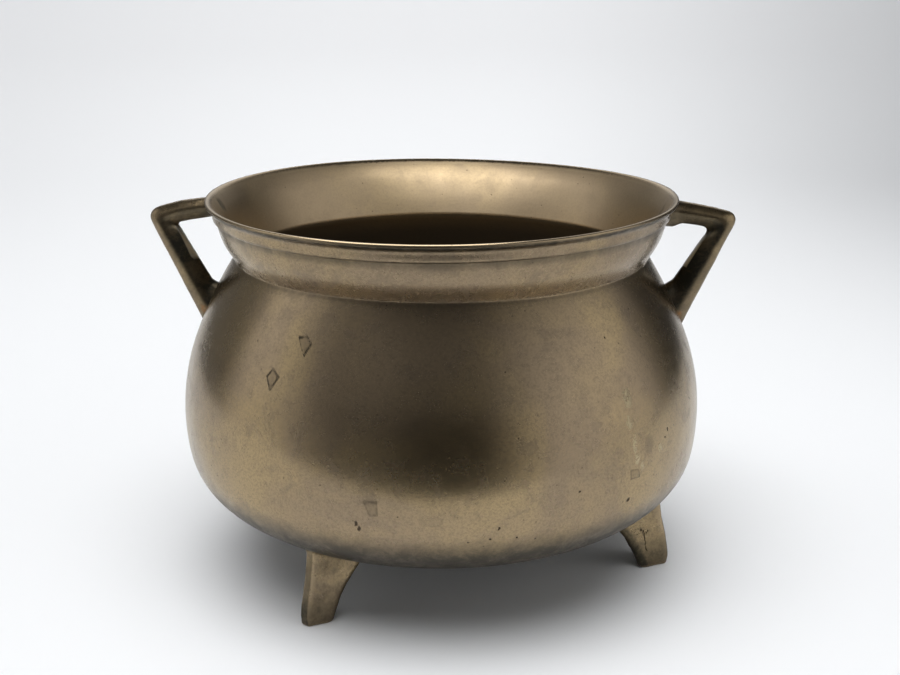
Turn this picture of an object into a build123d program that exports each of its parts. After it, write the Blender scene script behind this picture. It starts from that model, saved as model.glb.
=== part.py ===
"""Cast bronze cooking cauldron: round-bottomed pot, two angular handles, three legs, chaplets.

Millimetres. +Z is up, the feet stand on Z = 0, the pot's axis is the Z axis and the two
handles lie along X. Azimuths are in degrees, counted from -Y (the front) towards +X.
Every casting meets its neighbour face to face: handles and legs are cut back to the
pot's outer surface, and each chaplet fills exactly its own hole through the wall.
"""
import os
from math import cos, radians, sin

from build123d import *

# ---- pot ----
RIM_RADIUS = 137.4
RIM_HEIGHT = 227.0
WALL = 3.4
BASE_HEIGHT = 20.2
# The belly's outline as tangent arcs, from the axis up to the neck crease:
# (radius, heading at the arc's end), where heading 0 is outward and 90 is straight up.
BELLY_ARCS = ((302.0, 24.1), (65.3, 37.5), (42.2, 80.5), (121.5, 112.2), (285.7, 122.6))
# The neck and rim band above the crease, as (radius, height).
STEP_FOOT = (131.8, 216.5)
STEP_EDGE = (132.9, 216.8)
BAND_MIDDLE = (133.6, 219.2)
BAND_TOP = (134.2, 221.6)
COVE_MIDDLE = (135.2, 223.4)
LIP_THICKNESS = 2.5
LIP_WIDTH = 2.7
LIP_ROUNDING = 0.8
LIP_SLOPE = 0.3
# The inside of the neck, from the lip down to the throat, as (radius, height).
INNER_FLARE = ((130.6, 221.2), (127.0, 214.8), (122.4, 203.2))

# ---- handles: outline as (x, height), running on into the pot and cut back to it ----
HANDLE_WIDTH = 12.0
HANDLE_TOP = (126.0, 226.6)
HANDLE_TAIL = (139.9, 142.0)
HANDLE_TAIL_INSIDE = (128.5, 159.2)
# (node, turn about Z, outer elbow, inner crook, underside at the pot): the right handle
# stands out a little further and is heavier under its top bar.
HANDLES = (
    ("handle_right", 0.0, (175.1, 215.2), (158.9, 206.8), (126.0, 211.8)),
    ("handle_left", 180.0, (174.7, 215.5), (156.4, 208.9), (126.0, 214.2)),
)
ELBOW_RADIUS = 6.5
CROOK_RADIUS = 3.0
OUTER_ROUNDING = 3.0
# How far the section tapers towards the loop, across its width and along its depth.
TAPER_ACROSS = 3.2
TAPER_ALONG = 6.0

# ---- legs ----
# (node, azimuth, radius of the outer edge at the foot): set by eye, so a little uneven.
LEGS = (
    ("leg_front_left", -34.5, 127.6),
    ("leg_right", 83.0, 141.4),
    ("leg_back", 204.2, 134.0),
)
# Sections of a leg: (height, set-back of the outer edge, depth, outer width, inner width).
LEG_SECTIONS = (
    (0.0, 0.6, 14.6, 7.6, 21.5),
    (11.0, 0.0, 19.2, 8.0, 22.5),
    (20.0, 2.3, 25.4, 8.2, 24.0),
    (32.0, 5.0, 35.5, 8.6, 27.0),
    (54.0, 7.4, 52.0, 9.6, 34.0),
)
LEG_CORNER = 2.4

# ---- chaplets: small plates set through the wall ----
# Each is cut by a bar lying along the radius: the bar's inner end, and its length.
CHAPLET_START = 117.0
CHAPLET_LENGTH = 40.0
# (node, azimuth, height, corners as (sideways, upward) from the plate's middle).
CHAPLETS = (
    ("chaplet_kite", -29.5, 168.6, ((-4.2, 3.3), (1.2, 4.0), (4.2, 1.0), (1.6, -4.6))),
    ("chaplet_diamond", -35.7, 150.3, ((-3.7, 0.6), (-0.6, 4.4), (4.3, 1.3), (0.5, -5.4))),
    ("chaplet_square", -11.3, 93.0, ((-4.0, 3.3), (2.6, 3.7), (2.6, -3.5), (-1.2, -3.8))),
    ("chaplet_wedge", 43.7, 97.3, ((-3.2, 2.9), (2.7, 1.6), (3.8, -2.5), (-2.9, -2.2))),
)
# The far side has more of the same plates, in one node: (azimuth, height).
BACK_CHAPLETS = ((128.0, 162.0), (168.0, 95.0), (228.0, 160.0), (262.0, 98.0))
BACK_CHAPLET_CORNERS = ((-3.6, 3.4), (3.2, 3.9), (3.8, -3.2), (-2.8, -3.9))


def in_xz(point):
    """A (radius, height) pair as a point in the X-Z plane."""
    return (point[0], 0.0, point[1])


def arc_end(start, radius, heading, end_heading):
    """Where an arc ends that leaves start at one heading and turns left to another."""
    x = start[0] + radius * (sin(radians(end_heading)) - sin(radians(heading)))
    z = start[1] + radius * (cos(radians(heading)) - cos(radians(end_heading)))
    return (x, z)


def belly_outline(inset):
    """The belly's arcs in the X-Z plane, moved inward by inset, and their last point."""
    start = (0.0, BASE_HEIGHT + inset)
    heading = 0.0
    edges = []
    for radius, end_heading in BELLY_ARCS:
        half_way = arc_end(start, radius - inset, heading, (heading + end_heading) / 2)
        end = arc_end(start, radius - inset, heading, end_heading)
        edges.append(ThreePointArc(in_xz(start), in_xz(half_way), in_xz(end)))
        start = end
        heading = end_heading
    return edges, start


def outer_outline():
    """The pot's outside, from the bottom of the belly to the top of the lip."""
    edges, crease = belly_outline(0.0)
    lip_bottom = (RIM_RADIUS - LIP_ROUNDING, RIM_HEIGHT - LIP_THICKNESS)
    lip_edge = (RIM_RADIUS, RIM_HEIGHT - LIP_THICKNESS / 2)
    lip_top = (RIM_RADIUS - LIP_ROUNDING, RIM_HEIGHT)
    edges.append(Line(in_xz(crease), in_xz(STEP_FOOT)))
    edges.append(Line(in_xz(STEP_FOOT), in_xz(STEP_EDGE)))
    edges.append(ThreePointArc(in_xz(STEP_EDGE), in_xz(BAND_MIDDLE), in_xz(BAND_TOP)))
    edges.append(ThreePointArc(in_xz(BAND_TOP), in_xz(COVE_MIDDLE), in_xz(lip_bottom)))
    edges.append(ThreePointArc(in_xz(lip_bottom), in_xz(lip_edge), in_xz(lip_top)))
    return edges, lip_top


def solid_pot():
    """The pot with its hollow filled: what handles and legs are cut back to."""
    edges, lip_top = outer_outline()
    centre_top = (0.0, RIM_HEIGHT)
    edges.append(Line(in_xz(lip_top), in_xz(centre_top)))
    edges.append(Line(in_xz(centre_top), in_xz((0.0, BASE_HEIGHT))))
    return revolve(make_face(edges), Axis.Z)


def pot_wall():
    """The pot's wall, with its hollow open at the top."""
    edges, lip_top = outer_outline()
    inside, throat = belly_outline(WALL)
    lip_inside = (RIM_RADIUS - LIP_WIDTH, RIM_HEIGHT - LIP_SLOPE)
    edges.append(Line(in_xz(lip_top), in_xz(lip_inside)))
    edges.append(Spline(*[in_xz(point) for point in (lip_inside, *INNER_FLARE, throat)]))
    edges.extend(inside)
    edges.append(Line(in_xz((0.0, BASE_HEIGHT + WALL)), in_xz((0.0, BASE_HEIGHT))))
    return revolve(make_face(edges), Axis.Z)


def corner_edge(solid, corner):
    """The edge along Y at one corner of the handle's outline."""
    return solid.edges().filter_by(Axis.Y).sort_by_distance(in_xz(corner))[0]


def midway(one, other):
    """The point halfway between two (x, height) points."""
    return ((one[0] + other[0]) / 2, (one[1] + other[1]) / 2)


def flat_sides(solid):
    """The handle's two flat sides, nearest -Y first."""
    return solid.faces().filter_by(Axis.Y).sort_by(Axis.Y)


def edges_near(side, spots):
    """For each (x, height) spot, the edge of a flat side that passes nearest to it."""
    depth = side.center().Y
    return [side.edges().sort_by_distance((x, depth, height))[0] for x, height in spots]


def handle(elbow, crook, underside, filled):
    """A handle on the +X side: wide and rounded outside, tapering towards its loop."""
    corners = (HANDLE_TOP, elbow, HANDLE_TAIL, HANDLE_TAIL_INSIDE, crook, underside)
    outline = make_face(Polyline(*[in_xz(corner) for corner in corners], close=True))
    bar = extrude(outline, HANDLE_WIDTH / 2, dir=(0, 1, 0), both=True)
    bar = fillet(corner_edge(bar, elbow), ELBOW_RADIUS)
    bar = fillet(corner_edge(bar, crook), CROOK_RADIUS)
    outer_spots = (midway(HANDLE_TOP, elbow), elbow, midway(elbow, HANDLE_TAIL))
    loop_spots = (midway(underside, crook), crook, midway(crook, HANDLE_TAIL_INSIDE))
    for end in (0, -1):
        bar = fillet(edges_near(flat_sides(bar)[end], outer_spots), OUTER_ROUNDING)
    for end in (0, -1):
        side = flat_sides(bar)[end]
        bar = chamfer(edges_near(side, loop_spots), TAPER_ALONG, TAPER_ACROSS, reference=side)
    return bar - filled


def leg(azimuth, foot_radius, filled):
    """One leg: a blunt keel outside, broad inside, growing into the belly."""
    sections = []
    for height, set_back, depth, outer_width, inner_width in LEG_SECTIONS:
        outer = foot_radius - set_back
        inner = outer - depth
        corners = (
            (outer, -outer_width / 2),
            (outer, outer_width / 2),
            (inner, inner_width / 2),
            (inner, -inner_width / 2),
        )
        section = make_face(Polyline(*corners, close=True))
        section = fillet(section.vertices(), LEG_CORNER)
        sections.append(Pos(0, 0, height) * section)
    blank = loft(sections)
    return Rot(0, 0, azimuth - 90) * blank - filled


def chaplet_prism(azimuth, height, corners):
    """A bar of the chaplet's outline, lying along the radius through the wall."""
    points = [(0.0, sideways, upward) for sideways, upward in corners]
    outline = make_face(Polyline(*points, close=True))
    bar = extrude(outline, CHAPLET_LENGTH, dir=(1, 0, 0))
    return Rot(0, 0, azimuth - 90) * Pos(CHAPLET_START, 0, height) * bar


def write(name, shape):
    """Save one node's STEP file."""
    export_step(shape, f"parts/{name}.step")


def main():
    """Build every piece and write it."""
    os.makedirs("parts", exist_ok=True)
    filled = solid_pot()
    wall = pot_wall()
    for name, azimuth, height, corners in CHAPLETS:
        prism = chaplet_prism(azimuth, height, corners)
        write(name, wall & prism)
        wall = wall - prism
    back_plates = []
    for azimuth, height in BACK_CHAPLETS:
        prism = chaplet_prism(azimuth, height, BACK_CHAPLET_CORNERS)
        back_plates.extend((wall & prism).solids())
        wall = wall - prism
    write("chaplets_far_side", Compound(children=back_plates))
    write("pot_body", wall)
    for name, turn, elbow, crook, underside in HANDLES:
        write(name, Rot(0, 0, turn) * handle(elbow, crook, underside, filled))
    for name, azimuth, foot_radius in LEGS:
        write(name, leg(azimuth, foot_radius, filled))


main()
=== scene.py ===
from math import atan2, ceil, cos, degrees, exp, hypot, pi, radians, sin, sqrt

import bmesh
import bpy
import numpy as np
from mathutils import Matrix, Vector, noise


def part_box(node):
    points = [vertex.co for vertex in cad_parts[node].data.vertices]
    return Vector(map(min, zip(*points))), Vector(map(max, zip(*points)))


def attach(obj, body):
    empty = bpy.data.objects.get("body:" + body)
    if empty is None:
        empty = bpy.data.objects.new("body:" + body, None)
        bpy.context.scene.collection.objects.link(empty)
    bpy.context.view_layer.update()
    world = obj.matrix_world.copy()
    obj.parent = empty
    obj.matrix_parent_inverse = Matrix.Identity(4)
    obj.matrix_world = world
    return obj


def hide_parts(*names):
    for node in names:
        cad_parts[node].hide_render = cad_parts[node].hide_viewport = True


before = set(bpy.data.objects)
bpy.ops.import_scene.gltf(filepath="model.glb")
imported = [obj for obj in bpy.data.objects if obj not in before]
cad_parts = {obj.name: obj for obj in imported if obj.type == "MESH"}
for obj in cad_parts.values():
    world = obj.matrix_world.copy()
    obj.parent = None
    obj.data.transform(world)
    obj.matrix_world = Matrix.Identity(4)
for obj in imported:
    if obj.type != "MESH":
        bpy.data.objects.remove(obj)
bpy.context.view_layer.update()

MM = 0.001
POT_LOW, POT_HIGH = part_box("pot_body")
BASE = POT_LOW.z / MM
TOP = POT_HIGH.z / MM

# ---- pot ----
WALL = 3.4
# The belly's outline as tangent arcs from the axis up: (radius, heading at the arc's end).
BELLY_ARCS = ((302.0, 24.1), (65.3, 37.5), (42.2, 80.5), (121.5, 112.2), (285.7, 122.6))
# The neck's top and the step, the band, the lip and the flare inside the neck, from outside
# to inside, as (radius, depth below the rim).
NECK = ((131.7, 10.6), (132.0, 10.3), (132.7, 10.2), (133.1, 9.8), (133.5, 8.6))
BAND = ((133.7, 7.2), (134.0, 6.0), (134.15, 5.2), (134.4, 4.6), (134.9, 3.9), (135.7, 3.0))
LIP = ((136.5, 2.45), (137.05, 2.05), (137.4, 1.4), (137.3, 0.6), (136.9, 0.12), (136.2, 0.0))
# How many of the lip's points belong to its side, in the shade of the cove.
LIP_SIDE = 3
LIP_INSIDE = ((135.2, 0.15), (134.3, 0.7), (133.5, 1.7))
FLARE = ((130.6, 5.8), (127.0, 12.2), (122.4, 23.8))
# How far the neck swells past a straight line, and how strongly that gathers at its middle.
NECK_SWELL = 1.5
SWELL_POWER = 1.6
# Where the neck's outline has points, close together just above the crease, and where the
# last step below the crease has them.
NECK_SHARES = (0.018, 0.045, 0.1, 0.2, 0.3, 0.4, 0.5, 0.6, 0.7, 0.8, 0.9, 0.97, 1.0)
UNDER_CREASE_SHARES = (0.5, 0.8, 1.0)
# How far apart the points of the belly's arcs are, and how many points go round the pot.
POINT_STEP = 2.9
AROUND = 336
# The rim isn't quite a circle or quite level: waves as (count round the rim, size, phase).
RIM_RADIUS_WAVES = ((2, 0.28, -23.0), (3, 0.78, -38.0), (4, 0.21, 0.0))
RIM_HEIGHT_WAVES = ((0, -0.35, 0.0), (1, 0.38, 180.0), (2, 0.47, 129.0), (3, 0.13, -60.0))
# The height, just below the crease, from which that warp grows towards the rim.
WARP_START = 175.0
# The uneven hand-finished surface as layers of noise: (size, grain, seed).
UNEVENNESS = ((0.26, 62.0, 0.0), (0.13, 27.0, 7.0), (0.03, 9.0, 3.0))
# It fades inside this radius, and this share of it is gone at the rim.
EVEN_RADIUS = 40.0
EVEN_AT_RIM = 0.6
# The underside, dark with soot and painted shade: clean above the first height, dark below the second.
UNDERSIDE = (80.0, 60.0)
# How far below the rim the lip and its inner edge are worn bright.
WORN_DEPTH = 3.0

# ---- chaplets: (node, azimuth, height, corners as (sideways, upward)) ----
CHAPLETS = (
    ("chaplet_kite", -29.5, 168.6, ((-4.2, 3.3), (1.2, 4.0), (4.2, 1.0), (1.6, -4.6))),
    ("chaplet_diamond", -35.7, 150.3, ((-3.7, 0.6), (-0.6, 4.4), (4.3, 1.3), (0.5, -5.4))),
    ("chaplet_square", -11.3, 93.0, ((-4.0, 3.3), (2.6, 3.7), (2.6, -3.5), (-1.2, -3.8))),
    ("chaplet_wedge", 43.7, 97.3, ((-3.2, 2.9), (2.7, 1.6), (3.8, -2.5), (-2.9, -2.2))),
)
# How dark the crumbling seam round each plate is.
SEAM_STRENGTH = {
    "chaplet_kite": 1.0, "chaplet_diamond": 1.0, "chaplet_square": 0.40, "chaplet_wedge": 0.45,
}
FAR_SEAM_STRENGTH = 0.7
FAR_CHAPLETS = ((128.0, 162.0), (168.0, 95.0), (228.0, 160.0), (262.0, 98.0))
FAR_CORNERS = ((-3.6, 3.4), (3.2, 3.9), (3.8, -3.2), (-2.8, -3.9))
# How many points go round a plate, and how much its corners are rounded.
PLATE_POINTS = 56
PLATE_CUT = 0.7
# A plate's rings from its middle out, where 1 is its outline and the last runs under the wall.
PLATE_SHARES = (0.12, 0.4, 0.65, 0.82, 0.91, 0.97, 1.02, 1.07, 1.14, 1.3)
# How far a plate stands proud of the wall, and how far its last ring lies under it.
PLATE_PROUD = 0.035
PLATE_SUNK = 0.03
# How wide the seam is as a share of the plate, and how much wider at its corners.
SEAM_WIDTH = 0.125
SEAM_AT_CORNERS = 0.09


# ==== small geometry helpers ====
# The most of a side that one rounded corner takes.
MOST_CUT = 0.48


def smooth(value, low, high):
    """0 below low, 1 above high and a smooth step between."""
    t = min(max((value - low) / (high - low), 0.0), 1.0)
    return t * t * (3 - 2 * t)


def bump(value, middle, width):
    """A bell of height 1 round middle."""
    return exp(-(((value - middle) / width) ** 2))


def waves(azimuth, table):
    """The sum of a table of (count, size, phase) waves at one azimuth."""
    return sum(size * cos(radians(count * azimuth - phase)) for count, size, phase in table)


def rough(point, grain, seed=0.0):
    """Steady noise from -1 to 1 at a point in millimetres, with that grain size."""
    return noise.noise(Vector((point[0] / grain + seed, point[1] / grain, point[2] / grain)))


def arc_points(start, radius, heading, end_heading):
    """Points along an arc that leaves start at a heading and turns left, without its start."""
    count = max(2, ceil(radius * radians(end_heading - heading) / POINT_STEP))
    made = []
    for k in range(1, count + 1):
        turn = heading + (end_heading - heading) * k / count
        x = start[0] + radius * (sin(radians(turn)) - sin(radians(heading)))
        z = start[1] + radius * (cos(radians(heading)) - cos(radians(turn)))
        made.append((x, z))
    return made


def belly_outline(inset):
    """The belly's outline moved inward by inset, from the axis up to the crease."""
    points = [(0.0, BASE + inset)]
    heading = 0.0
    for radius, end_heading in BELLY_ARCS:
        points.extend(arc_points(points[-1], radius - inset, heading, end_heading))
        heading = end_heading
    return points


def between(start, end, share):
    """The point at a share of the way from start to end."""
    return tuple(a + (b - a) * share for a, b in zip(start, end))


def along(start, end, count):
    """Evenly spaced points from start to end, without start."""
    return [between(start, end, k / count) for k in range(1, count + 1)]


def curve_through(points, count):
    """A smooth Catmull-Rom curve through points, with count steps per span."""
    ends = [points[0], *points, points[-1]]
    made = [points[0]]
    for i in range(1, len(ends) - 2):
        a, b, c, d = (np.array(p, float) for p in ends[i - 1:i + 3])
        for k in range(1, count + 1):
            t = k / count
            mixed = 0.5 * (2 * b + (c - a) * t + (2 * a - 5 * b + 4 * c - d) * t**2
                           + (3 * b - a - 3 * c + d) * t**3)
            made.append(tuple(mixed))
    return made


def below_rim(pairs):
    """(radius, depth below the rim) pairs as (radius, height)."""
    return [(radius, TOP - depth) for radius, depth in pairs]


BELLY = belly_outline(0.0)
CREASE = BELLY[-1]
INSIDE = belly_outline(WALL)
THROAT = INSIDE[-1]


def belly_radius(height, outline=BELLY):
    """The belly's radius at a height."""
    return float(np.interp(height, [p[1] for p in outline], [p[0] for p in outline]))


def unevenness(point):
    """How far the hand-finished surface stands proud of its true shape, in millimetres."""
    return sum(size * rough(point, grain, seed) for size, grain, seed in UNEVENNESS)


def pot_point(radius, azimuth, height):
    """A point of the pot, with its uneven surface and the rim's warp, in millimetres."""
    turn = radians(azimuth)
    lift = smooth(height, WARP_START, TOP)
    flat = (radius * sin(turn), -radius * cos(turn), height)
    spread = unevenness(flat) * min(1.0, radius / EVEN_RADIUS) * (1 - EVEN_AT_RIM * lift)
    spread += lift * waves(azimuth, RIM_RADIUS_WAVES)
    height += lift * waves(azimuth, RIM_HEIGHT_WAVES)
    radius += spread
    return (radius * sin(turn), -radius * cos(turn), height)


def mesh_object(name, points, faces, marks=None):
    """A smooth-shaded object from points in millimetres, faces and per-point attributes."""
    mesh = bpy.data.meshes.new(name)
    mesh.from_pydata([(x * MM, y * MM, z * MM) for x, y, z in points], [], faces)
    for key, values in (marks or {}).items():
        layer = mesh.attributes.new(key, "FLOAT", "POINT")
        layer.data.foreach_set("value", np.array(values, np.float32))
    tidy = bmesh.new()
    tidy.from_mesh(mesh)
    bmesh.ops.recalc_face_normals(tidy, faces=tidy.faces)
    tidy.to_mesh(mesh)
    tidy.free()
    mesh.shade_smooth()
    made = bpy.data.objects.new(name, mesh)
    bpy.context.scene.collection.objects.link(made)
    return made


def grid_faces(rows, columns, first=0):
    """Quads between rows of points that each close on themselves."""
    faces = []
    for i in range(rows - 1):
        for j in range(columns):
            k = (j + 1) % columns
            a, b = first + i * columns, first + (i + 1) * columns
            faces.append((a + j, a + k, b + k, b + j))
    return faces


def fan(centre, first, columns):
    """Triangles from a centre point to a closed row."""
    return [(centre, first + j, first + (j + 1) % columns) for j in range(columns)]


def lofted(rings):
    """Points and faces of a solid through rings of equal length, closed at both ends."""
    columns = len(rings[0])
    points = [point for ring in rings for point in ring]
    faces = grid_faces(len(rings), columns)
    for ring, first in ((rings[0], 0), (rings[-1], (len(rings) - 1) * columns)):
        points.append(tuple(np.mean(np.array(ring), axis=0)))
        faces.extend(fan(len(points) - 1, first, columns))
    return points, faces


def rounded(corners, cuts, steps, side_points):
    """A closed outline with rounded corners: steps round each, and points along each side."""
    made = []
    count = len(corners)
    for i in range(count):
        corner = np.array(corners[i], float)
        before = np.array(corners[i - 1], float)
        after = np.array(corners[(i + 1) % count], float)
        cut_before = min(MOST_CUT, cuts[i] / np.linalg.norm(before - corner))
        cut_after = min(MOST_CUT, cuts[i] / np.linalg.norm(after - corner))
        start = corner + (before - corner) * cut_before
        end = corner + (after - corner) * cut_after
        for k in range(steps + 1):
            t = k / steps
            made.append(tuple((1 - t) ** 2 * start + 2 * t * (1 - t) * corner + t * t * end))
        cut_next = min(MOST_CUT, cuts[(i + 1) % count] / np.linalg.norm(after - corner))
        next_start = after + (corner - after) * cut_next
        made.extend(along(end, next_start, side_points + 1)[:-1])
    return made


# ==== the pot ====
def pot_profile():
    """The pot's whole outline, from under the belly over the lip to the bottom inside."""
    outside = list(BELLY[:-1])
    for share in UNDER_CREASE_SHARES:
        outside.append(between(BELLY[-2], CREASE, share))
    neck = below_rim(NECK)
    for share in NECK_SHARES:
        radius, height = between(CREASE, neck[0], share)
        outside.append((radius + NECK_SWELL * sin(pi * share) ** SWELL_POWER, height))
    outside.extend(neck[1:])
    outside.extend(below_rim(BAND))
    lip = below_rim(LIP)
    inside = below_rim(LIP_INSIDE)
    flare = curve_through([inside[-1], *below_rim(FLARE), THROAT], 4)[1:]
    down = list(reversed(INSIDE))[1:]
    return outside, lip, inside, flare, down


def pot_shade_and_soot(height):
    """Painted shade on the pot's outside at the crease, step and cove and up the neck, and soot with
    painted shade underneath.
    """
    crease_height = CREASE[1]
    step_height = TOP - NECK[2][1]
    cove_height = TOP - LIP[0][1]
    dirt_and_shade = 0.4 * bump(height, crease_height - 1.0, 1.4)
    dirt_and_shade += 0.9 * bump(height, cove_height, 1.7)
    dirt_and_shade += 0.55 * bump(height, step_height - 1.4, 2.2)
    dirt_and_shade += 0.08 * smooth(height, crease_height, crease_height + 6.0)
    dirt_and_shade += 0.9 * smooth(height, *UNDERSIDE)
    return min(dirt_and_shade, 1.0)


def pot_marks(profile, outside_count, throat_index):
    """Wear, grime and painted shade, soot and the inner neck's painted highlight along the outline,
    one value each per outline point.
    """
    wear, grime_and_shade, soot, inner_neck = [], [], [], []
    outer_end = outside_count + len(LIP)
    step_height = TOP - NECK[2][1]
    for i, (_, height) in enumerate(profile):
        if i < outside_count + LIP_SIDE:
            wear.append(0.25 * bump(height, step_height + 0.9, 0.8))
            grime_and_shade.append(pot_shade_and_soot(height))
            soot.append(0.0)
            inner_neck.append(0.0)
        else:
            wear.append(1.0 if TOP - height < WORN_DEPTH else 0.0)
            grime_and_shade.append(0.0)
            soot.append(smooth(i, throat_index - 1, throat_index + 6))
            # The inner neck, where a highlight is painted into the metal's colour.
            inner_neck.append(smooth(i, outer_end, outer_end + 4))
    return wear, grime_and_shade, soot, inner_neck


def build_pot():
    """The vessel: one closed surface, revolved round the axis with its hand-made warp."""
    outside, lip, inside, flare, down = pot_profile()
    profile = outside + lip + inside + flare + down
    throat_index = len(profile) - len(down) - 1
    keys = ("wear", "grime_and_shade", "soot", "inner_neck")
    columns = pot_marks(profile, len(outside), throat_index)
    points = [pot_point(0.0, 0.0, profile[0][1])]
    marks = {key: [column[0]] for key, column in zip(keys, columns)}
    for (radius, height), *values in list(zip(profile, *columns))[1:-1]:
        for j in range(AROUND):
            points.append(pot_point(radius, 360.0 * j / AROUND, height))
        for key, value in zip(keys, values):
            marks[key].extend([value] * AROUND)
    points.append(pot_point(0.0, 0.0, profile[-1][1]))
    for key, column in zip(keys, columns):
        marks[key].append(column[-1])
    rows = len(profile) - 2
    faces = grid_faces(rows, AROUND, 1)
    faces.extend(fan(0, 1, AROUND))
    faces.extend(fan(len(points) - 1, 1 + (rows - 1) * AROUND, AROUND))
    return mesh_object("pot_casting", points, faces, marks)


def skin_table():
    """Heights and radii of the pot's outside, from the bottom of the belly to the lip."""
    outside, lip, *_ = pot_profile()
    points = sorted((height, radius) for radius, height in outside + lip)
    return [p[0] for p in points], [p[1] for p in points]


SKIN_HEIGHTS, SKIN_RADII = skin_table()


# ==== chaplets ====
def plate_outline(corners):
    """A plate's outline, a little ragged, as (sideways, upward) pairs."""
    dense = rounded(corners, [PLATE_CUT] * len(corners), steps=3, side_points=16)
    chosen = [dense[int(k * len(dense) / PLATE_POINTS)] for k in range(PLATE_POINTS)]
    made = []
    for x, y in chosen:
        push = 1 + 0.05 * rough((x, y, 0.0), 0.9, x)
        made.append((x * push, y * push))
    return made


def plate_side(azimuth, height, outline, shares, wall, outward):
    """Rings of points on a side of the wall, and how near each point is to the seam."""
    rings, seam = [], []
    reach = [hypot(x, y) for x, y in outline]
    at_corner = [smooth(r / np.mean(reach), 1.0, 1.3) for r in reach]
    for share in shares:
        proud = PLATE_PROUD - (PLATE_PROUD + PLATE_SUNK) * smooth(share, *PLATE_SHARES[-2:])
        ring = []
        for x, y in outline:
            z = height + y * share
            radius = belly_radius(z, wall)
            angle = azimuth + degrees(x * share / radius)
            px, py, pz = pot_point(radius, angle, z)
            scale = 1 + outward * proud / radius
            ring.append((px * scale, py * scale, pz))
        rings.append(ring)
        seam.extend(bump(share, 1.0, SEAM_WIDTH + SEAM_AT_CORNERS * c) for c in at_corner)
    return rings, seam


def plate(azimuth, height, corners, strength):
    """A plug through the wall: its outer face, its inner face and the sides between."""
    outline = plate_outline(corners)
    inner_shares = tuple(reversed(PLATE_SHARES[:-1]))
    outer, outer_seam = plate_side(azimuth, height, outline, PLATE_SHARES, BELLY, 1.0)
    inner, inner_seam = plate_side(azimuth, height, outline, inner_shares, INSIDE, -1.0)
    points, faces = lofted(outer + inner)
    seam = [value * strength for value in outer_seam + inner_seam] + [0.0, 0.0]
    inside = [0.0] * len(outer_seam) + [1.0] * len(inner_seam) + [0.0, 1.0]
    return points, faces, seam, inside


def joined(parts):
    """Several (points, faces, values...) parts as one."""
    points, faces, values = [], [], [[] for _ in parts[0][2:]]
    for part_points, part_faces, *part_values in parts:
        first = len(points)
        points.extend(part_points)
        faces.extend(tuple(v + first for v in face) for face in part_faces)
        for kept, new in zip(values, part_values):
            kept.extend(new)
    return points, faces, values


def build_chaplets():
    """The plates that show at the front, each its own piece, and those of the far side."""
    made = []
    for node, azimuth, height, corners in CHAPLETS:
        points, faces, seam, inside = plate(azimuth, height, corners, SEAM_STRENGTH[node])
        piece = mesh_object(node + "_plate", points, faces, {"seam": seam, "soot": inside})
        made.append((piece, node))
    parts = [plate(*place, FAR_CORNERS, FAR_SEAM_STRENGTH) for place in FAR_CHAPLETS]
    points, faces, (seam, inside) = joined(parts)
    piece = mesh_object("chaplets_far_side_plates", points, faces, {"seam": seam, "soot": inside})
    made.append((piece, "chaplets_far_side"))
    return made


# ==== handles ====
# A handle's side view as (x, depth below the rim). Outer line: root, top bar, elbow, tail.
# Inner line: root, top bar, crook and heel. The crook's cut rounds it, and the web thickens
# the top bar at its root. The fin is the thin blade inside the elbow: its depth at its start
# and end as a share of the section, and how far down the arm it stops.
HANDLE_SHAPES = {
    "handle_left": {
        "side": -1.0,
        "outer": ((133.0, 3.0), (151.0, 3.2), (174.3, 11.4), (140.9, 84.8)),
        "inner": ((129.4, 13.6), (142.0, 15.2), (157.0, 18.2), (138.2, 51.6)),
        "crook_cut": 4.0,
        "web": 0.0,
        "fin": (0.05, 0.19, 0.34),
        "seed": 2.0,
    },
    "handle_right": {
        "side": 1.0,
        "outer": ((133.2, 3.2), (151.0, 5.4), (174.6, 11.3), (140.9, 84.8)),
        "inner": ((129.0, 16.6), (142.0, 16.6), (158.2, 19.4), (138.6, 49.6)),
        "crook_cut": 6.5,
        "web": 2.6,
        "fin": (0.03, 0.09, 0.42),
        "seed": 9.0,
    },
}
# Where the inner line turns into the shoulder.
HEEL_END = (129.8, 55.6)
# How much of the arm's inner line is straight before its heel, and how far the bend leans.
HEEL_SHARE = 0.60
HEEL_LEAN = 0.10
# How much the elbow is rounded, and how many stations each stretch of a handle has.
ELBOW_CUT = 8.0
TOP_STATIONS = 16
ELBOW_STATIONS = 14
ARM_STATIONS = 44
HANDLE_HALF_WIDTH = 5.9
# The section's depth for rounding its corners, and its half-width at the thin edge.
SECTION_DEPTH = 14.0
THIN_HALF_WIDTH = 1.7
SECTION_CUTS = (2.9, 2.6, 2.2, 0.6, 0.8)
# How strongly the lumpy cast skin shows on a handle, where it is 1 on a leg.
HANDLE_CAST = 0.55
# How far from the pot's outline a handle may reach into its wall.
HANDLE_EMBED = 1.3


def curved(start, middle, end, count):
    """Points of a soft bend from start to end that leans towards middle, without end."""
    made = []
    for k in range(count):
        t = k / count
        made.append((1 - t) ** 2 * start + 2 * t * (1 - t) * middle + t * t * end)
    return made


def bent(path, cut, heel_share=1.0):
    """Stations along the top bar, round the elbow and down the lower arm to its heel."""
    root, middle, elbow, tail = (np.array(p, float) for p in path)
    start = elbow + (middle - elbow) * cut / np.linalg.norm(middle - elbow)
    end = elbow + (tail - elbow) * cut / np.linalg.norm(tail - elbow)
    straight = int(ARM_STATIONS * heel_share)
    made = curved(root, middle, start, TOP_STATIONS)
    made += curved(start, elbow, end, ELBOW_STATIONS)
    made.append(end)
    made += [np.array(p) for p in along(tuple(end), tuple(tail), straight)]
    if heel_share < 1.0:
        heel_end = np.array(HEEL_END)
        lean = tail + (tail - end) * HEEL_LEAN
        made += curved(tail, lean, heel_end, ARM_STATIONS - straight)[1:]
        made.append(heel_end)
    return made


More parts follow.
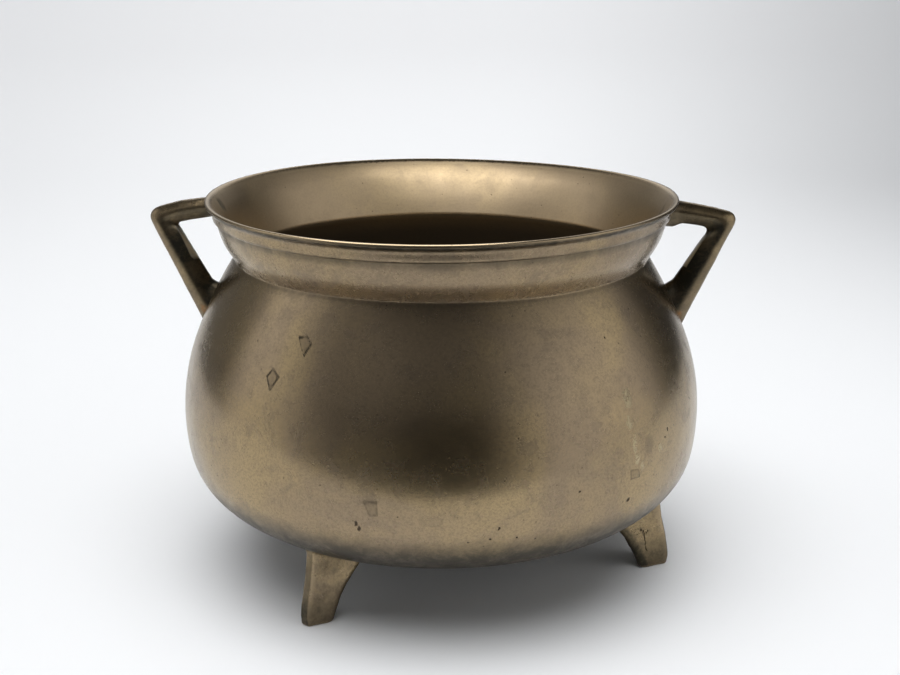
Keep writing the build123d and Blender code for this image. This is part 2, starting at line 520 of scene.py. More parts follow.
def handle_section(fin_depth, fin_width, half_width):
    """A section as (share from inner edge to outer edge, sideways): round outside, thin inside."""
    side = ((1.0, 0.46 * half_width), (0.70, half_width), (0.46, half_width),
            (fin_depth, fin_width), (0.0, THIN_HALF_WIDTH))
    corners = [(u * SECTION_DEPTH, -y) for u, y in side]
    corners += [(u * SECTION_DEPTH, y) for u, y in reversed(side)]
    outline = rounded(corners, SECTION_CUTS + tuple(reversed(SECTION_CUTS)), steps=4, side_points=1)
    return [(u / SECTION_DEPTH, y) for u, y in outline]


def skin_radius(azimuth, height):
    """The radius of the pot's outside at an azimuth and height, with the rim's warp."""
    radius = float(np.interp(height, SKIN_HEIGHTS, SKIN_RADII))
    return radius + smooth(height, WARP_START, TOP) * waves(azimuth, RIM_RADIUS_WAVES)


def outside_wall(point):
    """A handle's point, moved out where it would reach too far into the pot's wall."""
    x, y, z = point
    reach = hypot(x, y)
    least = skin_radius(degrees(atan2(x, -y)), z) - HANDLE_EMBED
    if reach >= least:
        return point
    return (x * least / reach, y * least / reach, z)


def handle_shake(at, at_root, seed):
    """How far the rough casting stands proud at a point, with crusts at the roots."""
    shake = 0.24 * rough(at, 9.0, seed) + 0.10 * rough(at, 3.4, seed)
    return shake + 0.4 * at_root * rough(at, 2.8, seed + 4)


def handle_rings(shape):
    """The handle's rings from the rim round the elbow to the shoulder, their crusts and painted shade,
    and the fin's painted reflection.
    """
    outer = bent(shape["outer"], ELBOW_CUT)
    inner = bent(shape["inner"], shape["crook_cut"], HEEL_SHARE)
    arm_start = TOP_STATIONS + ELBOW_STATIONS
    fin_start, fin_end, fin_stop = shape["fin"]
    side, seed = shape["side"], shape["seed"]
    rings, grime_and_shade, pale = [], [], []
    for k, (edge_in, edge_out) in enumerate(zip(inner, outer)):
        down = (k - arm_start) / ARM_STATIONS
        fin = smooth(down, -0.12, 0.08) * (1 - smooth(down, fin_stop - 0.015, fin_stop + 0.015))
        fin_depth = 0.12 + fin * (fin_start + (fin_end - fin_start) * down / fin_stop - 0.12)
        at_root = max(1 - smooth(k, 0, 6), smooth(down, 0.74, 0.95))
        fin_width = 3.0 + 0.5 * fin + 2.4 * at_root
        half_width = HANDLE_HALF_WIDTH + 1.2 * (1 - smooth(k, 0, 4)) + smooth(down, 0.7, 1.0)
        # Darker down the lower arm, as patina and painted shade.
        patina_and_shade = 0.10 + 0.38 * smooth(k, TOP_STATIONS, arm_start)
        web = shape["web"] * (1 - smooth(k, 5.2, 7.8)) + 0.35 * fin
        inward = (edge_in - edge_out) / np.linalg.norm(edge_in - edge_out)
        ring = []
        for u, y in handle_section(max(0.05, fin_depth), fin_width, half_width):
            place = edge_in + (edge_out - edge_in) * u + inward * (1 - smooth(u, 0.0, 0.4)) * web
            at = (place[0], y, place[1])
            x, depth = place - inward * handle_shake(at, at_root, seed)
            y = y * (1 + 0.03 * rough(at, 12.0, seed + 1))
            ring.append(outside_wall((side * x, side * y, TOP - depth)))
            # The fin's pale grey is a painted reflection of the white backdrop.
            on_fin = fin * (1 - smooth(u, fin_depth - 0.02, fin_depth + 0.03))
            # Painted shade: darker towards the inner edge, under the top bar and on the arm's loop
            # side.
            dark = 1 - smooth(u, 0.40, 0.78)
            grime_and_shade.append(min(1.0, max(patina_and_shade + 0.7 * dark * (1 - on_fin), 0.9 * at_root)))
            pale.append(on_fin)
        rings.append(ring)
    return rings, grime_and_shade, pale


def build_handle(node, shape):
    """One handle, with its ends buried in the pot's wall."""
    rings, grime_and_shade, pale = handle_rings(shape)
    points, faces = lofted(rings)
    ends = [0.0, 0.0]
    marks = {"wear": [0.0] * len(points), "grime_and_shade": grime_and_shade + ends, "pale": pale + ends,
             "cast": [HANDLE_CAST] * len(points)}
    return mesh_object(node + "_casting", points, faces, marks)


# ==== legs ====
# (node, azimuth, foot radius, (extra depth, extra half-width, extra flare per mm above the
# foot), width of the painted shade along the inner edge, noise seed)
LEG_SHAPES = (
    ("leg_front_left", -35.2, 127.7, (0.2, 0.3, 0.0), 2.6, 1.0),
    ("leg_right", 83.0, 141.4, (1.8, 2.2, -0.22), 9.0, 5.0),
    ("leg_back", 204.2, 134.0, (0.8, 0.8, 0.0), 3.5, 8.0),
)
# Along a leg: (height, set-back of the keel, depth, keel half-width, back half-width).
LEG_TABLE = np.array((
    (0.0, 0.9, 15.0, 2.6, 10.6),
    (6.0, 0.1, 18.2, 2.6, 11.0),
    (12.0, 0.9, 20.2, 2.5, 11.3),
    (20.0, 2.5, 24.6, 2.4, 11.9),
    (30.0, 4.8, 33.0, 2.4, 13.2),
    (40.0, 6.3, 42.0, 2.6, 15.0),
    (54.0, 7.4, 52.0, 3.2, 17.0),
))
# How much a section's corners are rounded: two at the keel and two at the back.
LEG_CUTS = (1.2, 1.2, 6.4, 6.4)
LEG_STATIONS = 40
SOLE_ROUNDING = 1.9
# How far up the leg its foot reaches, above which its back may flare.
FOOT_HEIGHT = 14.0
# How far a leg's top lies inside the belly, and how the search for its height starts and goes.
LEG_EMBED = 0.9
FIRST_CLIMB = 30.0
CLIMB_ROUNDS = 26
CLIMB_PACE = 0.6


def leg_outline(height, extra):
    """A leg's section at a height as (set-back from the foot radius, sideways)."""
    back, depth, keel, wide = (
        float(np.interp(height, LEG_TABLE[:, 0], LEG_TABLE[:, column])) for column in range(1, 5)
    )
    depth += extra[0] + extra[2] * max(0.0, height - FOOT_HEIGHT)
    wide += extra[1]
    corners = ((back, -keel), (back, keel), (back + depth, wide), (back + depth, -wide))
    return rounded(corners, LEG_CUTS, steps=6, side_points=6)


def climb_heights(foot_radius, extra):
    """How high each column of a leg's outline climbs before it meets the belly."""
    widest = int(np.argmax([radius for radius, _ in BELLY]))
    belly = np.array(BELLY[:widest + 1])
    heights = np.full(len(leg_outline(0.0, extra)), FIRST_CLIMB)
    for _ in range(CLIMB_ROUNDS):
        for c, height in enumerate(heights):
            back, side = leg_outline(height, extra)[c]
            reach = hypot(foot_radius - back, side)
            meets = float(np.interp(reach, belly[:, 0], belly[:, 1]))
            heights[c] += CLIMB_PACE * (meets + LEG_EMBED - height)
    return heights


def leg_ring(share, heights, azimuth, foot_radius, extra, inner_shade_width, seed):
    """A ring of the leg: share 0 is the sole and share 1 lies on the belly."""
    turn = radians(azimuth)
    radial = np.array((sin(turn), -cos(turn)))
    sideways = np.array((cos(turn), sin(turn)))
    ring, grime_and_shade, wear = [], [], []
    for c, height in enumerate(heights):
        z = share * height
        outline = np.array(leg_outline(z, extra))
        centre = outline.mean(axis=0)
        out = outline[c] - centre
        out = out / np.linalg.norm(out)
        under = max(0.0, 1 - z / SOLE_ROUNDING)
        inset = SOLE_ROUNDING * (1 - sqrt(max(0.0, 1 - under * under)))
        at = (outline[c][0], outline[c][1], z)
        shake = 0.22 * rough(at, 8.0, seed) + 0.10 * rough(at, 3.0, seed + 3)
        shake += 0.5 * smooth(share, 0.9, 1.0) * rough(at, 2.6, seed + 6)
        shake *= smooth(z, 0.0, 4.0)
        fillet = 1.3 * smooth(share, 0.88, 1.0) ** 2
        back, side = outline[c] + out * (fillet - inset + shake)
        flat = radial * (foot_radius - back) + sideways * side
        ring.append((flat[0], flat[1], z))
        keel_side = outline[c][0] - outline[:, 0].min()
        inner_side = outline[:, 0].max() - outline[c][0]
        seam = bump(share, 0.972, 0.026) * (0.95 + 0.6 * rough(at, 2.2, seed))
        sole_line = bump(z, 0.9, 0.5)
        # Painted shade: the foot darker towards the floor, where it mirrors the floor's shadow, and a
        # strip along the inner edge.
        foot = 0.14 + 0.48 * (1 - smooth(z, 5.0, 28.0))
        face = 0.45 * (1 - smooth(keel_side, 0.05, 0.35))
        edge = 0.95 * (1 - smooth(inner_side, 0.6 * inner_shade_width, inner_shade_width))
        grime_and_shade.append(min(1.0, max(seam, foot + face, edge)) * (1 - 0.6 * sole_line))
        arris = bump(keel_side, 0.8, 0.6) * smooth(z, 1.0, 4.0) * (1 - smooth(share, 0.9, 0.97))
        wear.append(max(arris, 0.7 * sole_line))
    return ring, grime_and_shade, wear


def build_leg(node, azimuth, foot_radius, extra, inner_shade_width, seed):
    """One leg: blunt keel outside, broad inside, rounded sole, growing into the belly."""
    heights = climb_heights(foot_radius, extra)
    shares = [0.0, 0.003, 0.009, 0.018, 0.03, 0.045, 0.06]
    shares += [0.06 + 0.94 * k / LEG_STATIONS for k in range(1, LEG_STATIONS + 1)]
    rings, grime_and_shade, wear = [], [], []
    for share in shares:
        ring, dirt_and_shade, shine = leg_ring(share, heights, azimuth, foot_radius, extra, inner_shade_width, seed)
        rings.append(ring)
        grime_and_shade.extend(dirt_and_shade)
        wear.extend(shine)
    points, faces = lofted(rings)
    marks = {"grime_and_shade": grime_and_shade + [0.2, 0.0], "wear": wear + [0.0, 0.0], "cast": [1.0] * len(points)}
    return mesh_object(node + "_casting", points, faces, marks)


# ==== materials ====
# The metal's colours, as linear red, green, blue and alpha.
METAL_GOLDEN = (0.370, 0.278, 0.155, 1)
METAL_MIDDLE = (0.292, 0.222, 0.145, 1)
METAL_BROWN = (0.203, 0.160, 0.116, 1)
METAL_DARK = (0.160, 0.125, 0.084, 1)
# The bright colour is worn metal, and the painted highlight inside the neck.
METAL_BRIGHT = (0.42, 0.325, 0.205, 1)
METAL_PALE = (0.50, 0.42, 0.26, 1)
# The grey is a painted reflection of the white backdrop on the handles' fins.
METAL_GREY = (0.62, 0.62, 0.58, 1)
# The near-black is grime, crusts and painted shade.
METAL_GRIME_AND_SHADE = (0.046, 0.043, 0.033, 1)
METAL_PIT = (0.05, 0.038, 0.028, 1)
METAL_SOOT = (0.085, 0.072, 0.056, 1)
METAL_RUST = (0.24, 0.115, 0.045, 1)


class Paint:
    """Short names for building the nodes of one material or world."""

    def __init__(self, tree):
        """Work in one node tree."""
        self.tree = tree

    def node(self, kind, inputs=None, **settings):
        """Add a node with some of its settings, and feed some of its inputs."""
        made = self.tree.nodes.new(kind)
        for key, value in settings.items():
            setattr(made, key, value)
        for key, value in (inputs or {}).items():
            self.feed(made.inputs[key], value)
        return made

    def feed(self, socket, value):
        """Link a socket or set a plain value."""
        if isinstance(value, bpy.types.NodeSocket):
            self.tree.links.new(value, socket)
        else:
            socket.default_value = value

    def math(self, operation, a, b=0.0, c=0.0):
        """One sum, quotient or other operation on up to three numbers."""
        return self.node("ShaderNodeMath", {0: a, 1: b, 2: c}, operation=operation).outputs[0]

    def product(self, *factors):
        """Several numbers multiplied."""
        total = factors[0]
        for factor in factors[1:]:
            total = self.math("MULTIPLY", total, factor)
        return total

    def step(self, value, low, high, to_low=0.0, to_high=1.0):
        """A smooth step from to_low at low to to_high at high."""
        inputs = {0: value, 1: low, 2: high, 3: to_low, 4: to_high}
        return self.node("ShaderNodeMapRange", inputs, interpolation_type="SMOOTHSTEP").outputs[0]

    def noise(self, place, scale, detail=2.0, roughness=0.5, distortion=0.0):
        """Noise about 0.5, with scale grains to a metre."""
        inputs = {"Vector": place, "Scale": scale, "Detail": detail, "Roughness": roughness,
                  "Distortion": distortion}
        return self.node("ShaderNodeTexNoise", inputs).outputs[0]

    def cells(self, place, scale):
        """Distance to the nearest of scattered points, and that point's random number."""
        made = self.node("ShaderNodeTexVoronoi", {"Vector": place, "Scale": scale})
        apart = self.node("ShaderNodeSeparateColor", {0: made.outputs["Color"]})
        return made.outputs["Distance"], apart.outputs[0]

    def vector(self, operation, a, b=(0, 0, 0)):
        """An operation on vectors, giving a vector, or a number for a length or dot product."""
        made = self.node("ShaderNodeVectorMath", {0: a, 1: b}, operation=operation)
        plain = operation in ("LENGTH", "DOT_PRODUCT")
        return made.outputs["Value"] if plain else made.outputs["Vector"]

    def blend(self, share, first, second):
        """Mix two colours."""
        inputs = {0: share, 6: first, 7: second}
        return self.node("ShaderNodeMix", inputs, data_type="RGBA").outputs[2]

    def attribute(self, key):
        """A number stored at each point of the mesh, or 0 where there is none."""
        return self.node("ShaderNodeAttribute", attribute_name=key).outputs["Fac"]

    def place(self):
        """The place on the object, in metres."""
        return self.node("ShaderNodeTexCoord").outputs["Object"]

    def relief(self, height):
        """A bump normal from a height in metres."""
        inputs = {"Strength": 1.0, "Distance": 1.0, "Height": height}
        return self.node("ShaderNodeBump", inputs).outputs[0]


# ---- marks on the casting ----
# Pits: (azimuth, height, width, tall), and the neck's radius where it has one.
PITS = (
    (-14.6, 83.6, 2.6, 3.6), (-14.0, 80.6, 2.2, 3.6), (41.1, 169.0, 1.6, 1.6),
    (42.5, 83.0, 2.8, 2.8), (29.4, 96.0, 1.8, 1.8), (16.7, 75.0, 2.0, 1.8),
    (20.7, 73.0, 1.6, 1.6), (11.4, 76.0, 2.4, 2.2), (12.9, 82.0, 1.5, 1.5),
    (17.1, 136.0, 1.5, 1.3), (14.0, 108.0, 1.5, 1.5), (55.1, 114.0, 2.2, 3.4),
    (54.0, 110.4, 1.6, 2.6), (42.4, 199.0, 2.2, 3.0), (7.0, 74.4, 1.5, 1.5),
)
NECK_MARK_RADIUS = 126.5
# Rough pale streak down the right of the belly: (azimuth, height, width, tall).
STREAK = (
    (43.0, 139.0, 8.0, 15.0), (42.6, 126.0, 6.0, 10.0), (43.6, 114.0, 4.6, 15.0),
    (44.1, 105.5, 5.2, 9.0), (45.8, 100.5, 4.0, 6.0), (52.0, 106.0, 5.0, 7.0),
)
# A brown stain beside the streak: (azimuth, height, width, tall).
STAIN = (48.1, 111.0, 8.5, 13.0)
# A branching crack on the near face of the right leg: (x, height, width, tall), all at one y.
CRACK = (
    (122.0, 24.4, 1.6, 2.8), (123.2, 22.9, 1.6, 2.8), (124.4, 21.2, 1.5, 3.2), (124.9, 18.6, 1.3, 4.6),
    (125.3, 15.6, 1.3, 4.6), (126.2, 12.4, 1.2, 4.6), (125.6, 22.4, 1.3, 2.4), (126.5, 23.6, 1.2, 2.2),
)
CRACK_Y = -27.0
CRACK_REACH = 9.0
# Crusts round the handles' roots, and rusty spots at their lower ends: (x, y, height, size).
CRUSTS = (
    (-137.5, -3.0, 164.0, 11.0), (138.0, -3.0, 164.0, 12.0), (-132.5, -2.0, 218.0, 15.0),
    (133.0, -3.0, 215.0, 15.0), (-141.5, -2.0, 157.0, 9.0), (142.0, -2.0, 157.0, 9.0),
    (-131.5, -2.0, 171.0, 11.0), (131.5, -2.0, 171.0, 10.0), (141.0, -3.0, 211.0, 10.0),
)
RUST = ((-142.4, -6.0, 157.5, 6.0), (140.8, -6.0, 155.8, 6.5))


def new_material(name):
    """An empty node material, its Paint and its surface shader."""
    made = bpy.data.materials.new(name)
    made.use_nodes = True
    shader = made.node_tree.nodes["Principled BSDF"]
    return made, Paint(made.node_tree), shader


def on_belly(azimuth, height):
    """A point of the pot's outside, in metres."""
    radius = belly_radius(height) if height < CREASE[1] else NECK_MARK_RADIUS
    return tuple(c * MM for c in pot_point(radius, azimuth, height))


def spot(paint, place, azimuth, height, across, tall, edge):
    """A patch on the pot that fades over its edge: 1 in the middle, 0 outside."""
    centre = on_belly(azimuth, height)
    size = (1 / (across * MM / 2), 1 / (across * MM / 2), 1 / (tall * MM / 2))
    offset = paint.vector("SUBTRACT", place, centre)
    scaled = paint.vector("MULTIPLY", offset, size)
    return paint.step(paint.vector("LENGTH", scaled), 1.0, 1.0 - edge)


def ball(paint, place, x, y, z, size):
    """A round patch in space, fading over its outer half: 1 in the middle, 0 outside."""
    offset = paint.vector("SUBTRACT", place, (x * MM, y * MM, z * MM))
    return paint.step(paint.vector("LENGTH", offset), size * MM / 2, size * MM / 4)


def any_of(paint, masks):
    """The greatest of several masks."""
    total = masks[0]
    for mask in masks[1:]:
        total = paint.math("MAXIMUM", total, mask)
    return total


def crack_mask(paint, place):
    """1 in the crack and 0 elsewhere."""
    parts = []
    for x, height, width, tall in CRACK:
        offset = paint.vector("SUBTRACT", place, (x * MM, CRACK_Y * MM, height * MM))
        size = (2 / (width * MM), 1 / (CRACK_REACH * MM), 2 / (tall * MM))
        scaled = paint.vector("MULTIPLY", offset, size)
        parts.append(paint.step(paint.vector("LENGTH", scaled), 1.0, 0.5))
    return any_of(paint, parts)


def bronze_grain(paint, place):
    """The shared grain of the worn bronze as masks: mottling, clouds, fine grain, specks."""
    mottle = paint.noise(place, 13.0, 3.0, 0.6, 0.5)
    cloud = paint.noise(place, 70.0, 5.0, 0.76, 0.3)
    grain = paint.noise(place, 800.0, 2.0, 0.6)
    apart, pick = paint.cells(place, 300.0)
    chosen = paint.step(pick, 0.90, 0.93)
    speck = paint.product(paint.step(apart, 0.20, 0.06), chosen)
    return {"mottle": mottle, "cloud": cloud, "grain": grain, "speck": speck}


def wobbly_place(paint, place):
    """The place shifted about by half a millimetre or so, for ragged edges."""
    made = paint.node("ShaderNodeTexNoise", {"Vector": place, "Scale": 330.0, "Detail": 1.0})
    centred = paint.vector("SUBTRACT", made.outputs["Color"], (0.5, 0.5, 0.5))
    return paint.vector("ADD", place, paint.vector("MULTIPLY", centred, (0.0026, 0.0026, 0.003)))


def bronze_colour(paint, masks):
    """The worn metal's colour from its masks, in layers of (mask, how much of it, colour)."""
    colour = paint.blend(paint.step(masks["mottle"], 0.36, 0.66), METAL_MIDDLE, METAL_GOLDEN)
    colour = paint.blend(paint.step(masks["cloud"], 0.47, 0.72, 0.0, 0.55), colour, METAL_BROWN)
    colour = paint.blend(paint.step(masks["grain"], 0.38, 0.72, 0.0, 0.42), colour, METAL_DARK)
    # Among these layers the grime layer is partly painted shade, the inner neck's bright layer is a
    # painted highlight and the pale grey layer is a painted reflection.
    layers = (
        ("cast_gold", 0.55, METAL_GOLDEN), ("cast_dark", 0.55, METAL_DARK),
        ("inner_neck", 0.45, METAL_BRIGHT), ("wear", 0.75, METAL_BRIGHT),
        ("speck", 0.6, METAL_PIT), ("stain", 0.4, METAL_DARK),
        ("streak", 0.8, METAL_PALE), ("grime_and_shade", 1.0, METAL_GRIME_AND_SHADE),
        ("pale", 0.8, METAL_GREY), ("rust", 0.7, METAL_RUST),
        ("pits", 0.85, METAL_PIT), ("soot", 0.8, METAL_SOOT),
    )
    for key, amount, paint_colour in layers:
        if key in masks:
            colour = paint.blend(paint.product(masks[key], amount), colour, paint_colour)
    return colour


def bronze_masks(paint, place):
    """Where the casting is worn, grimy, in painted shade, sooty, rusty, pitted, streaked or lumpy, and
    where highlights and reflections are painted.
    """
    ragged = wobbly_place(paint, place)
    masks = bronze_grain(paint, place)
    for key in ("wear", "soot", "pale", "inner_neck"):
        masks[key] = paint.attribute(key)
    crust = any_of(paint, [ball(paint, ragged, *part) for part in CRUSTS])
    # The meshes' grime layer is mostly painted shade, with soot under the pot and crusts at the
    # handles' roots.
    grime_and_shade = paint.math("MAXIMUM", paint.attribute("grime_and_shade"), paint.product(crust, 0.85))
    masks["grime_and_shade"] = paint.product(grime_and_shade, paint.step(masks["cloud"], 0.30, 0.58, 0.62, 1.0))
    rust = any_of(paint, [ball(paint, ragged, *part) for part in RUST])
    masks["rust"] = paint.product(rust, paint.step(masks["grain"], 0.35, 0.55))
    pits = any_of(paint, [spot(paint, ragged, *pit, edge=0.5) for pit in PITS])
    masks["pits"] = paint.math("MAXIMUM", pits, crack_mask(paint, ragged))
    streak = any_of(paint, [spot(paint, ragged, *part, edge=0.6) for part in STREAK])
    masks["streak"] = paint.product(streak, paint.step(masks["grain"], 0.36, 0.58))
    masks["stain"] = spot(paint, ragged, *STAIN, edge=0.25)
    cast = paint.attribute("cast")
    lumps = paint.noise(place, 190.0, 4.0, 0.65)
    masks["cast_dark"] = paint.product(cast, paint.step(lumps, 0.50, 0.66))
    masks["cast_gold"] = paint.product(cast, paint.step(lumps, 0.48, 0.34))
    masks["lumps"] = paint.product(cast, lumps)
    return masks


def added_up(paint, total, masks, amounts):
    """A number plus each mask times its amount."""
    for key, amount in amounts:
        total = paint.math("MULTIPLY_ADD", masks[key], amount, total)
    return total


def bronze_material():
    """Worn brown bell metal with a golden cast, grimy and in painted shade in its crevices, sooty
    inside, with a painted highlight in the neck and painted reflections on the handles' fins.
    """
    made, paint, shader = new_material("bronze_patina")
    place = paint.place()
    masks = bronze_masks(paint, place)
    paint.feed(shader.inputs["Base Color"], bronze_colour(paint, masks))
    shader.inputs["Metallic"].default_value = 1.0
    finish = paint.step(masks["cloud"], 0.3, 0.75, 0.22, 0.30)
    rougher = (("wear", -0.02), ("grime_and_shade", 0.20), ("soot", 0.25), ("pits", 0.3),
               ("streak", 0.16), ("inner_neck", 0.12))
    paint.feed(shader.inputs["Roughness"], added_up(paint, finish, masks, rougher))
    brushed = paint.noise(paint.vector("MULTIPLY", place, (60.0, 60.0, 1500.0)), 1.0, 1.0)
    relief = paint.product(brushed, 0.000006)
    higher = (("grain", 0.000012), ("speck", -0.00006), ("pits", -0.0005),
              ("streak", 0.0002), ("lumps", 0.00035))
    paint.feed(shader.inputs["Normal"], paint.relief(added_up(paint, relief, masks, higher)))
    return made


def chaplet_material():
    """The same worn metal, a little darker, with a crumbling dark seam round each plate."""
    made, paint, shader = new_material("chaplet_patina")
    place = paint.place()
    masks = bronze_grain(paint, place)
    broken = paint.step(paint.noise(place, 560.0, 2.0, 0.6), 0.40, 0.56, 0.25, 1.0)
    masks["grime_and_shade"] = paint.product(paint.attribute("seam"), broken)
    masks["soot"] = paint.attribute("soot")
    worn = bronze_colour(paint, masks)
    paint.feed(shader.inputs["Base Color"], paint.blend(0.22, worn, METAL_DARK))
    shader.inputs["Metallic"].default_value = 1.0
    finish = paint.step(masks["cloud"], 0.3, 0.75, 0.30, 0.38)
    finish = added_up(paint, finish, masks, (("grime_and_shade", 0.3), ("soot", 0.25)))
    paint.feed(shader.inputs["Roughness"], finish)
    relief = paint.product(masks["grain"], 0.00002)
    relief = added_up(paint, relief, masks, (("grime_and_shade", -0.0003),))
    paint.feed(shader.inputs["Normal"], paint.relief(relief))
    return made


# ==== studio ====
# The floor that mirrors show: its front edge and its reach to each side. Then the reach of the
# whole floor, and the paper's colours, where the far and side ones are painted shade.
FLOOR_FRONT = -0.39
FLOOR_SIDE = 1.15
FAR = 22.0
PAPER_NEAR = (0.905, 0.92, 0.94, 1)
PAPER_FAR_SHADE = (0.83, 0.84, 0.86, 1)
PAPER_RIGHT_SHADE = (0.44, 0.45, 0.465, 1)
PAPER_LEFT_SHADE = (0.63, 0.64, 0.66, 1)
PAPER_FIBRE = (0.7, 0.7, 0.7, 1)
# Where the floor's even light comes from.
FILL_DIRECTION = tuple(Vector((-0.05, -0.20, 0.97)).normalized())
# The overhead soft box: its place and size, and its brightness as a mirror shows it.
OVERHEAD_PLACE = (-0.05, -0.08, 0.40)
OVERHEAD_WIDTH = 0.26
OVERHEAD_DEPTH = 0.23
OVERHEAD_STRENGTH = 3.8
# The camera: its place, how many degrees it looks down and is turned left, and its lens.
CAMERA_PLACE = (0.0267, -0.7536, 0.3611)
CAMERA_DOWN = 16.4256
CAMERA_TURN = 1.634
CAMERA_LENS = 52.0
CAMERA_SENSOR = 36.0


def spaced(start, end, count):
    """Distances from start to end, closer together near the table."""
    return [start + (end - start) * (k / count) ** 2 for k in range(count + 1)]


def sheet_object(name, xs, ys):
    """A flat sheet of floor over a grid of x and y, in metres."""
    points = [(x / MM, y / MM, 0.0) for y in ys for x in xs]
    columns = len(xs)
    faces = []
    for i in range(len(ys) - 1):
        for j in range(columns - 1):
            a = i * columns + j
            faces.append((a, a + 1, a + columns + 1, a + columns))
    made = mesh_object(name, points, faces)
    return made


def paper_material():
    """Matt white studio paper, with painted shade that greys it gently with distance and to both
    sides.
    """
    made, paint, shader = new_material("studio_paper")
    place = paint.place()
    x, y, _ = paint.node("ShaderNodeSeparateXYZ", {0: place}).outputs
    fibre = paint.noise(place, 900.0, 2.0, 0.6)
    away = paint.vector("LENGTH", place)
    # The far and side colours are painted shade, where the lights fall off.
    colour = paint.blend(paint.step(away, 0.5, 5.0), PAPER_NEAR, PAPER_FAR_SHADE)
    slant = paint.math("DIVIDE", x, paint.math("ADD", paint.math("ABSOLUTE", y), 0.85))
    far = paint.step(away, 0.2, 1.7)
    right = paint.product(paint.step(slant, 0.0, 0.42, 0.0, 0.95), far)
    left = paint.product(paint.step(slant, -0.08, -0.42, 0.0, 0.45), far)
    colour = paint.blend(right, colour, PAPER_RIGHT_SHADE)
    colour = paint.blend(left, colour, PAPER_LEFT_SHADE)
    colour = paint.blend(paint.step(fibre, 0.3, 0.8, 0.0, 0.03), colour, PAPER_FIBRE)
    paint.feed(shader.inputs["Base Color"], colour)
    shader.inputs["Roughness"].default_value = 0.55
    shader.inputs["Specular IOR Level"].default_value = 0.2
    paint.feed(shader.inputs["Normal"], paint.relief(paint.product(fibre, 0.000004)))
    return made


def build_floor():
    """A pale floor; mirrors show only the table part and what lies behind it."""
    paper = paper_material()
    across = spaced(0.0, FLOOR_SIDE, 8)
    middle = [-x for x in reversed(across)] + across[1:]
    outer = spaced(FLOOR_SIDE, FAR, 14)
    deep = spaced(FLOOR_FRONT, FAR, 24)
    table = sheet_object("table_floor", middle, deep)
    left = sheet_object("left_floor", [-x for x in reversed(outer)], deep)
    right = sheet_object("right_floor", outer, deep)
    whole = [-x for x in reversed(outer)] + middle[1:-1] + outer
    front = sheet_object("front_floor", whole, [-y for y in reversed(spaced(-FLOOR_FRONT, FAR, 14))])
    for piece in (table, left, right, front):
        piece.data.materials.append(paper)
    for piece in (left, right, front):
        piece.visible_glossy = False


def side_lights(paint, azimuth, climb):
    """The large soft lights at the left and the right, which fade upwards."""
    left_edge = paint.math("MULTIPLY_ADD", paint.step(climb, 5.0, 35.0), 14.0, azimuth)
    left = paint.product(
        paint.step(left_edge, -38.0, -88.0), paint.step(azimuth, -110.0, -94.0),
        paint.step(climb, 62.0, 30.0), paint.step(climb, 0.0, 26.0, 0.70, 0.92),
    )
    right = paint.product(
        paint.step(azimuth, 16.0, 64.0), paint.step(azimuth, 124.0, 92.0),
        paint.step(climb, 58.0, 12.0, 0.0, 0.92),
    )
    return left, right


def room_glow(paint, azimuth, climb):
    """The dim room, the left light's spill over its middle, and the paler room behind."""
    room = paint.product(
        paint.step(climb, 9.0, 36.0, 0.05, 0.19), paint.step(climb, 52.0, 41.0, 0.28, 1.0),
    )
    spill = paint.product(
        paint.step(azimuth, -2.0, -38.0, 0.0, 0.13), paint.step(climb, 48.0, 34.0),
    )
    behind = paint.product(
        paint.step(paint.math("ABSOLUTE", azimuth), 146.0, 166.0),
        paint.step(climb, 60.0, 30.0, 0.0, 0.8), paint.step(climb, 4.0, 18.0),
    )
    return paint.math("ADD", paint.math("ADD", room, spill), behind)


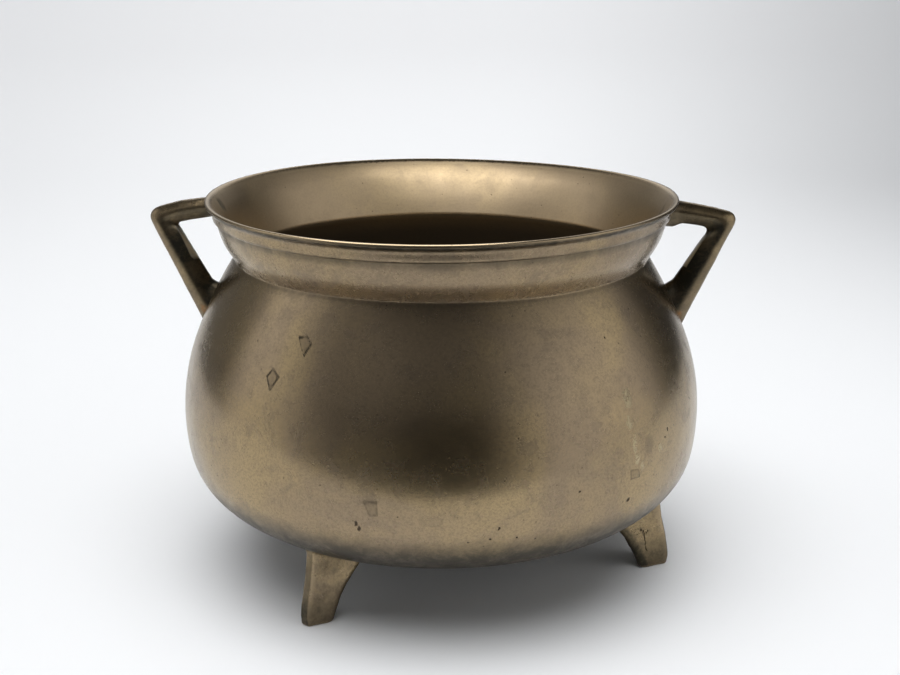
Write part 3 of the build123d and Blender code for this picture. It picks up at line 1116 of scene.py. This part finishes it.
def build_room():
    """A dark room with a large soft light at each side, and an even fill for the floor."""
    world = bpy.data.worlds.new("studio")
    bpy.context.scene.world = world
    world.use_nodes = True
    paint = Paint(world.node_tree)
    direction = paint.node("ShaderNodeTexCoord").outputs["Generated"]
    x, y, z = paint.node("ShaderNodeSeparateXYZ", {0: direction}).outputs
    azimuth = paint.product(paint.math("ARCTAN2", x, paint.product(y, -1.0)), 180 / pi)
    climb = paint.product(paint.math("ARCSINE", z), 180 / pi)
    left, right = side_lights(paint, azimuth, climb)
    glow = room_glow(paint, azimuth, climb)
    light = paint.math("ADD", glow, paint.math("ADD", left, right))
    backdrop = paint.step(climb, -2.0, 30.0, 0.72, 0.62)
    aim = paint.vector("DOT_PRODUCT", direction, FILL_DIRECTION)
    fill = paint.step(aim, 0.81, 0.93, 0.08, 4.0)
    fill = paint.math("MULTIPLY_ADD", left, 1.35, fill)
    fill = paint.math("MULTIPLY_ADD", right, 0.85, fill)
    rays = paint.node("ShaderNodeLightPath").outputs
    for seen, shown in ((rays["Is Camera Ray"], backdrop), (rays["Is Diffuse Ray"], fill)):
        kept = paint.product(light, paint.math("SUBTRACT", 1.0, seen))
        light = paint.math("ADD", kept, paint.product(shown, seen))
    background = world.node_tree.nodes["Background"]
    background.inputs["Color"].default_value = (1.0, 1.0, 1.0, 1)
    paint.feed(background.inputs["Strength"], light)


def build_overhead():
    """A low soft box over the pot, a little to the left, that only shiny surfaces show."""
    data = bpy.data.lights.new("overhead", "AREA")
    data.shape = "RECTANGLE"
    data.size = OVERHEAD_WIDTH
    data.size_y = OVERHEAD_DEPTH
    data.energy = OVERHEAD_STRENGTH * pi * OVERHEAD_WIDTH * OVERHEAD_DEPTH
    overhead = bpy.data.objects.new("overhead", data)
    bpy.context.scene.collection.objects.link(overhead)
    overhead.location = OVERHEAD_PLACE
    overhead.visible_camera = False
    overhead.visible_diffuse = False


def build_camera():
    """The camera, above the rim's height and almost straight in front."""
    data = bpy.data.cameras.new("camera")
    camera = bpy.data.objects.new("camera", data)
    bpy.context.scene.collection.objects.link(camera)
    data.lens = CAMERA_LENS
    data.sensor_width = CAMERA_SENSOR
    camera.location = CAMERA_PLACE
    camera.rotation_euler = (radians(90 - CAMERA_DOWN), 0, radians(CAMERA_TURN))
    bpy.context.scene.camera = camera


# ==== assembly ====
def dress(piece, material, node):
    """Give a piece its material and tie it to the frame in place of its CAD node."""
    piece.data.materials.append(material)
    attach(piece, "root")
    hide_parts(node)


def main():
    """Build the pot's pieces and the studio round them."""
    bronze = bronze_material()
    plate_metal = chaplet_material()
    dress(build_pot(), bronze, "pot_body")
    for node, shape in HANDLE_SHAPES.items():
        dress(build_handle(node, shape), bronze, node)
    for node, *shape in LEG_SHAPES:
        dress(build_leg(node, *shape), bronze, node)
    for piece, node in build_chaplets():
        dress(piece, plate_metal, node)
    build_floor()
    build_room()
    build_overhead()
    build_camera()
    bpy.context.scene.view_settings.view_transform = "Standard"


main()
